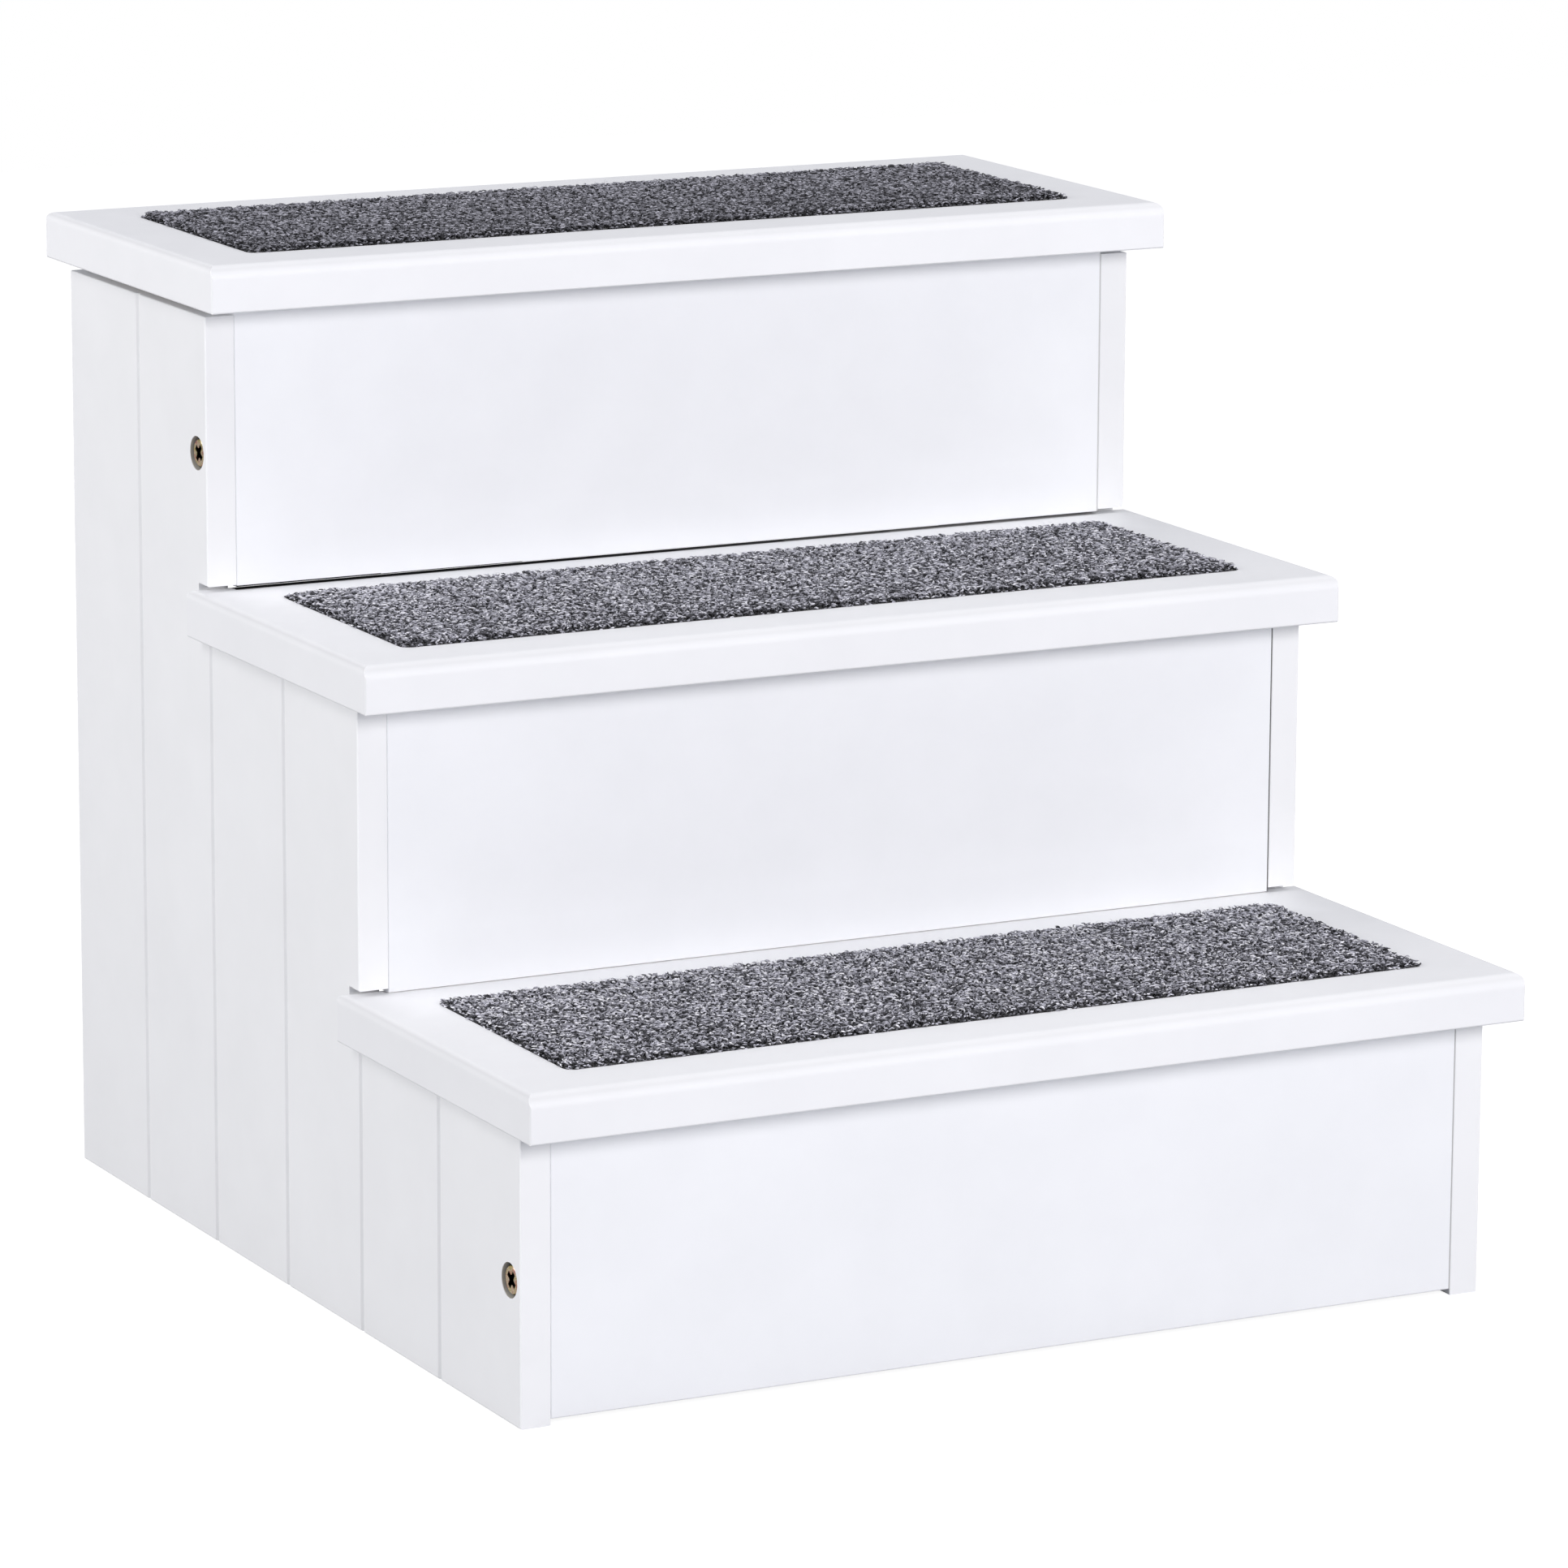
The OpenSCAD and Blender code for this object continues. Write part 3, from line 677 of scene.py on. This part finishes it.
# %% Felt look
FELT_TUFTS_PER_M = 900
FELT_STOPS = [(0.35, (0.008, 0.008, 0.009)), (0.55, (0.02, 0.02, 0.022)), (0.7, (0.07, 0.07, 0.078))]
FELT_SHEEN = 0.3
FELT_ROUGHNESS = 0.85, 1.0
FELT_DEPTH = 0.0006


def felt_look():
    material, tree, shader = start_material("carpet_felt")
    shader.inputs["Sheen Weight"].default_value = FELT_SHEEN
    tufts = noise(tree, places(tree), FELT_TUFTS_PER_M, detail=4, roughness=0.7, distortion=1.5)
    tree.links.new(ramp(tree, tufts, FELT_STOPS), shader.inputs["Base Color"])
    tree.links.new(spread(tree, tufts, *FELT_ROUGHNESS), shader.inputs["Roughness"])
    tree.links.new(bump(tree, tufts, FELT_DEPTH), shader.inputs["Normal"])
    return material


# %% [markdown]
# One strand starts almost upright, bends over and curls on. Its direction therefore has two
# angles that change along it: how steeply it climbs, which stays up for a while and then falls
# below level, and which way it heads, which keeps turning. Adding up short steps in that
# direction gives its points, for all strands at once.

# %% Fibre curves
FIBRE_POINTS = 6
BEND_POWER = 1.6


def fibre_lines(root, length, rise_from, rise_to, heading, curl):
    """Points along each fibre: an array of fibres x FIBRE_POINTS x 3."""
    steps = FIBRE_POINTS - 1
    line = [root]
    for k in range(steps):
        share = (k + 0.5) / steps
        climb = rise_from + (rise_to - rise_from) * share ** BEND_POWER
        way = heading + curl * share
        step = np.stack([np.cos(climb) * np.cos(way), np.cos(climb) * np.sin(way), np.sin(climb)], -1)
        line.append(line[-1] + step * (length / steps)[:, None])
    return np.stack(line, 1)


# %% [markdown]
# Each line becomes a three-sided tube that ends in points: it is closed, costs few faces, and
# smooth shading makes it look round. All tubes of one shade are joined in one mesh, and a flat
# map gives each tube a small cell of its own, so that an export can bake its colours.

# %% Faces of one tube
RING_WIDTHS = (0.8, 1.0, 1.0, 0.8)
TUBE_SIDES = 3


def fibre_faces():
    """One tube's faces as vertex numbers, each with its places on a flat map of the tube."""
    rings = FIBRE_POINTS - 2
    last = 1 + rings * TUBE_SIDES
    faces, flat = [], []
    for side in range(TUBE_SIDES):
        after = (side + 1) % TUBE_SIDES
        v0, v1 = side / TUBE_SIDES, (side + 1) / TUBE_SIDES
        faces.append((0, 1 + side, 1 + after))
        flat.append(((0, (v0 + v1) / 2), (1, v0), (1, v1)))
        for ring in range(rings - 1):
            a, b = 1 + ring * TUBE_SIDES, 1 + (ring + 1) * TUBE_SIDES
            faces.append((a + side, b + side, b + after, a + after))
            flat.append(((ring + 1, v0), (ring + 2, v0), (ring + 2, v1), (ring + 1, v1)))
        c = last - TUBE_SIDES
        faces.append((c + side, last, c + after))
        flat.append(((rings, v0), (rings + 1, (v0 + v1) / 2), (rings, v1)))
    return faces, flat, last + 1


# %% Tubes along the lines
CELL_MARGIN = 0.12


def tube_points(lines, radius, corners, rng):
    """Every tube's corners: a point at each end and a ring of them at each point between."""
    ahead = np.gradient(lines, axis=1)
    ahead /= np.linalg.norm(ahead, axis=2, keepdims=True)
    side = np.cross(ahead, rng.normal(size=(len(lines), 1, 3)))
    side /= np.linalg.norm(side, axis=2, keepdims=True)
    other = np.cross(ahead, side)
    points = np.empty((len(lines), corners, 3))
    points[:, 0], points[:, -1] = lines[:, 0], lines[:, -1]
    for ring, width in enumerate(RING_WIDTHS):
        for k in range(TUBE_SIDES):
            angle = 2 * math.pi * k / TUBE_SIDES
            out = side[:, ring + 1] * math.cos(angle) + other[:, ring + 1] * math.sin(angle)
            at = 1 + ring * TUBE_SIDES + k
            points[:, at] = lines[:, ring + 1] + out * (radius * width)[:, None]
    return points


def fibre_mesh(name, lines, radius, rng):
    """A mesh of closed tubes along the lines, with a map that gives each tube a cell of its own."""
    count = len(lines)
    faces, flat, corners = fibre_faces()
    points = tube_points(lines, radius, corners, rng)
    sizes = np.array([len(f) for f in faces])
    one = np.concatenate([np.array(f) for f in faces])
    loops = (np.arange(count)[:, None] * corners + one).ravel()
    starts = np.concatenate([[0], np.cumsum(np.tile(sizes, count))[:-1]])
    data = bpy.data.meshes.new(name)
    data.vertices.add(count * corners)
    data.vertices.foreach_set("co", points.ravel())
    data.loops.add(len(loops))
    data.loops.foreach_set("vertex_index", loops)
    data.polygons.add(count * len(faces))
    data.polygons.foreach_set("loop_start", starts)
    data.update(calc_edges=True)
    data.polygons.foreach_set("use_smooth", np.ones(count * len(faces), bool))

    across = math.ceil(math.sqrt(count))
    cell = np.stack([np.arange(count) % across, np.arange(count) // across], -1)
    in_cell = np.concatenate([np.array(f) / (FIBRE_POINTS - 1, 1) for f in flat])
    in_cell = CELL_MARGIN + (1 - 2 * CELL_MARGIN) * in_cell
    layout = data.uv_layers.new(name="OFBake")
    layout.uv.foreach_set("vector", ((cell[:, None] + in_cell) / across).astype(np.float32).ravel())

    ring_shares = (np.arange(1, FIBRE_POINTS - 1) / (FIBRE_POINTS - 1)).repeat(TUBE_SIDES)
    along = np.concatenate([[0], ring_shares, [1]]).astype(np.float32)
    data.attributes.new("along", "FLOAT", "POINT").data.foreach_set("value", np.tile(along, count))
    made = bpy.data.objects.new(name, data)
    scene.collection.objects.link(made)
    return made


# %% [markdown]
# Heather yarn is a blend of fibres dyed in a few shades. One material is made for each shade.
# All share the same graph: painted shade darkens each fibre towards its root, it is paler at the
# tip, and it differs a little from fibre to fibre. Each carpet scales the shades by a share of its
# own, as painted light and shade for its step, and the one on the top step is much the darkest.

# %% Fibre shades
SHADES = {
    "pale": (0.88, 0.88, 0.99),
    "silver": (0.57, 0.57, 0.645),
    "grey": (0.33, 0.33, 0.373),
    "charcoal": (0.085, 0.085, 0.096),
}
# Painted light and shade for each step's carpet: the top one is much darker.
CARPET_LIGHT_SHARES = {"bottom": 0.87, "middle": 0.858, "top": 0.495}
DARKEST_FIBRE, PALEST_FIBRE = 0.8, 1.25
# Painted shade at the root of each fibre, as a share of its colour.
ROOT_SHADE = 0.05
ROOT_END, TIP_START = 0.15, 0.7
FIBRE_ROUGHNESS = 0.55, 0.8
FIBRE_SHINE = 0.15


def fibre_look(name, colour):
    material, tree, shader = start_material(name)
    shader.inputs["Specular IOR Level"].default_value = FIBRE_SHINE
    along = add_node(tree, "ShaderNodeAttribute", attribute_name="along").outputs["Fac"]
    own = add_node(tree, "ShaderNodeNewGeometry").outputs["Random Per Island"]
    darkest = tuple(c * DARKEST_FIBRE for c in colour)
    palest = tuple(min(1, c * PALEST_FIBRE) for c in colour)
    tip = ramp(tree, own, [(0.0, darkest), (1.0, palest)])
    # Painted shade towards the root.
    root = tuple(c * ROOT_SHADE for c in colour)
    share = spread(tree, along, 0.0, 1.0, ROOT_END, TIP_START)
    tree.links.new(blended(tree, share, (*root, 1), tip), shader.inputs["Base Color"])
    tree.links.new(spread(tree, own, *FIBRE_ROUGHNESS, 0.0, 1.0), shader.inputs["Roughness"])
    return material


# %% [markdown]
# The roots stand on a jittered grid: pure chance would leave bald spots and clumps. Three smooth
# fields then make the pile uneven as the real one is: one for the direction in which the fibres
# lean, one for their height, and one that decides which shade wins in a patch. A little more of
# the pale shades goes to the back, as in the photograph. Angles are in degrees where they are
# named with rise, and otherwise in radians.

# %% Where fibres stand and how they lean
FIBRES_PER_SHADE = 8200
ROOT_INSET = 0.0005
ROOT_JITTER = -0.2, 1.2
ROOT_SINK = 0.0003
RIM_WIDTH = 0.0018
OUTWARD = np.array((math.pi, 0, -math.pi / 2, math.pi / 2))
LEAN_PATCH, LEAN_SCATTER, RIM_SCATTER = 0.006, 1.3, 0.9
TONE_PATCH, TONE_PATCH_SHARE, TONE_PER_M, TONE_SCATTER = 0.004, 0.12, 2.6, 0.5


def jittered_roots(rng, low, high, count):
    wide, deep = high.x - low.x - 2 * ROOT_INSET, high.y - low.y - 2 * ROOT_INSET
    columns = math.ceil(math.sqrt(count * wide / deep))
    rows = math.ceil(count / columns)
    at = rng.permutation(columns * rows)[:count]
    x = (at % columns + rng.uniform(*ROOT_JITTER, count)) / columns
    y = (at // columns + rng.uniform(*ROOT_JITTER, count)) / rows
    return low.x + ROOT_INSET + wide * x.clip(0, 1), low.y + ROOT_INSET + deep * y.clip(0, 1)


def leans_and_tones(rng, x, y, low, high):
    """The way each fibre leans, whether it stands at the rim, and its place among the shades."""
    count = len(x)
    lean = math.pi * smooth_field(rng, x, y, LEAN_PATCH) + rng.normal(0, LEAN_SCATTER, count)
    from_sides = np.stack([x - low.x, high.x - x, y - low.y, high.y - y])
    over_rim = OUTWARD[from_sides.argmin(0)] + rng.normal(0, RIM_SCATTER, count)
    at_rim = from_sides.min(0) < RIM_WIDTH
    patch = TONE_PATCH_SHARE * smooth_field(rng, x, y, TONE_PATCH)
    tone = patch + TONE_PER_M * (y - y.mean()) + rng.normal(0, TONE_SCATTER, count)
    return np.where(at_rim, over_rim, lean), at_rim, tone


# %% [markdown]
# The pile is sheared: what stands above one level is pressed down to little over it. The fibres
# at the rim are shorter and lean outwards over the edge of the recess, which hides the gap round
# the pad. Below the tread's top they stay in the recess, and above it they may hang over a hair.

# %% Pile
FIBRE_RADIUS = 0.00033
FIBRE_THICKNESS = 0.75, 1.2
FIBRE_LENGTH = 0.0034, 0.0051
HEIGHT_PATCH, HEIGHT_SHARE = 0.004, 0.12
RIM_LENGTH = 0.72
RIM_RISE, PILE_RISE, END_RISE = (15, 60), (35, 85), (-60, -5)
PILE_CURL = 2.0, 4.5
SHEAR_BELOW_TOP = 0.0008
PRESSED = 0.75
IN_RECESS = 0.0001
OVERHANG = 0.0008


def sheared_and_held(lines, low, high, tread_top):
    """Presses down what stands above the shears, and keeps the lines within the carpet."""
    past_shears = (lines[..., 2] - (high.z - SHEAR_BELOW_TOP)).clip(0)
    lines[..., 2] -= PRESSED * past_shears
    reach = np.where(lines[..., 2] > tread_top + FIBRE_RADIUS, OVERHANG, IN_RECESS)
    for axis in (0, 1):
        lines[..., axis] = lines[..., axis].clip(low[axis] - reach, high[axis] + reach)
    lines[..., 0], lines[..., 1] = round_corners(lines[..., 0], lines[..., 1], low, high, reach)
    return lines


def pile(step, rng, low, high, top, looks):
    count = FIBRES_PER_SHADE * len(SHADES)
    x, y = jittered_roots(rng, low, high, count)
    height = smooth_field(rng, x, y, HEIGHT_PATCH)
    lean, at_rim, tone = leans_and_tones(rng, x, y, low, high)
    length = rng.uniform(*FIBRE_LENGTH, count) * (1 + HEIGHT_SHARE * height)
    length = np.where(at_rim, RIM_LENGTH * length, length)
    rim_rise, pile_rise = rng.uniform(*RIM_RISE, count), rng.uniform(*PILE_RISE, count)
    rise_from = np.radians(np.where(at_rim, rim_rise, pile_rise))
    rise_to = np.radians(rng.uniform(*END_RISE, count))
    curl = rng.uniform(*PILE_CURL, count) * rng.choice([-1, 1], count)
    root = np.stack([x, y, np.full(count, top - ROOT_SINK)], -1)
    lines = fibre_lines(root, length, rise_from, rise_to, lean, curl)
    lines = sheared_and_held(lines, low, high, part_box(step + "_tread")[1].z)
    order = np.argsort(-tone)
    made = []
    for k, shade in enumerate(SHADES):
        chosen = order[k * FIBRES_PER_SHADE:(k + 1) * FIBRES_PER_SHADE]
        radius = FIBRE_RADIUS * rng.uniform(*FIBRE_THICKNESS, len(chosen))
        piece = fibre_mesh(f"{step}_carpet_{shade}_fibres", lines[chosen], radius, rng)
        piece.data.materials.append(looks[shade])
        made.append(piece)
    return made


# %% [markdown]
# A few thin hairs stand clear of the pile, most of all along its far edge, where the photograph
# shows them against the white tread.

# %% Stray hairs
HAIRS = 180
HAIR_RADIUS = 0.00004
HAIR_THICKNESS = 0.7, 1.3
HAIR_LENGTH = 0.0016, 0.0034
HAIR_SINK = 0.0015
HAIR_RISE, HAIR_END_RISE = (15, 70), (-40, 20)
HAIR_CURL = 1.0, 3.5
BACK_SHARE, BACK_BAND = 0.45, 0.003


def stray_hairs(step, rng, low, high, look):
    along_back = rng.uniform(0, 1, HAIRS) < BACK_SHARE
    x = rng.uniform(low.x, high.x, HAIRS)
    near_back = high.y - rng.uniform(0, BACK_BAND, HAIRS)
    y = np.where(along_back, near_back, rng.uniform(low.y, high.y, HAIRS))
    root = np.stack([x, y, np.full(HAIRS, high.z - HAIR_SINK)], -1)
    length = rng.uniform(*HAIR_LENGTH, HAIRS)
    rise_from = np.radians(rng.uniform(*HAIR_RISE, HAIRS))
    rise_to = np.radians(rng.uniform(*HAIR_END_RISE, HAIRS))
    heading = rng.uniform(-math.pi, math.pi, HAIRS)
    curl = rng.uniform(*HAIR_CURL, HAIRS) * rng.choice([-1, 1], HAIRS)
    lines = fibre_lines(root, length, rise_from, rise_to, heading, curl)
    radius = HAIR_RADIUS * rng.uniform(*HAIR_THICKNESS, HAIRS)
    piece = fibre_mesh(step + "_carpet_hairs", lines, radius, rng)
    piece.data.materials.append(look)
    return piece


# %% [markdown]
# Now the three carpets are made. Each has a seed of its own, so the strips differ but come out
# the same on every run. The felt and its fibres stand for the plain carpet solid of the frame.

# %% Lay the carpets
FIRST_SEED = 11

backing = felt_look()
for seed, step in enumerate(STEPS, start=FIRST_SEED):
    rng = np.random.default_rng(seed)
    looks = {}
    for shade, colour in SHADES.items():
        # Each carpet's colours carry the painted light and shade of its step.
        lit_colour = tuple(c * CARPET_LIGHT_SHARES[step] for c in colour)
        looks[shade] = fibre_look(f"{step}_carpet_{shade}", lit_colour)
    pad, low, high, top = felt_pad(step, rng)
    pad.data.materials.append(backing)
    fibres = pile(step, rng, low, high, top, looks)
    fibres.append(stray_hairs(step, rng, low, high, looks["pale"]))
    for piece in [pad, *fibres]:
        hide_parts(step + "_carpet")
        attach(piece, "root")
    print(step, "carpet:", sum(len(piece.data.polygons) for piece in fibres), "faces in its fibres")
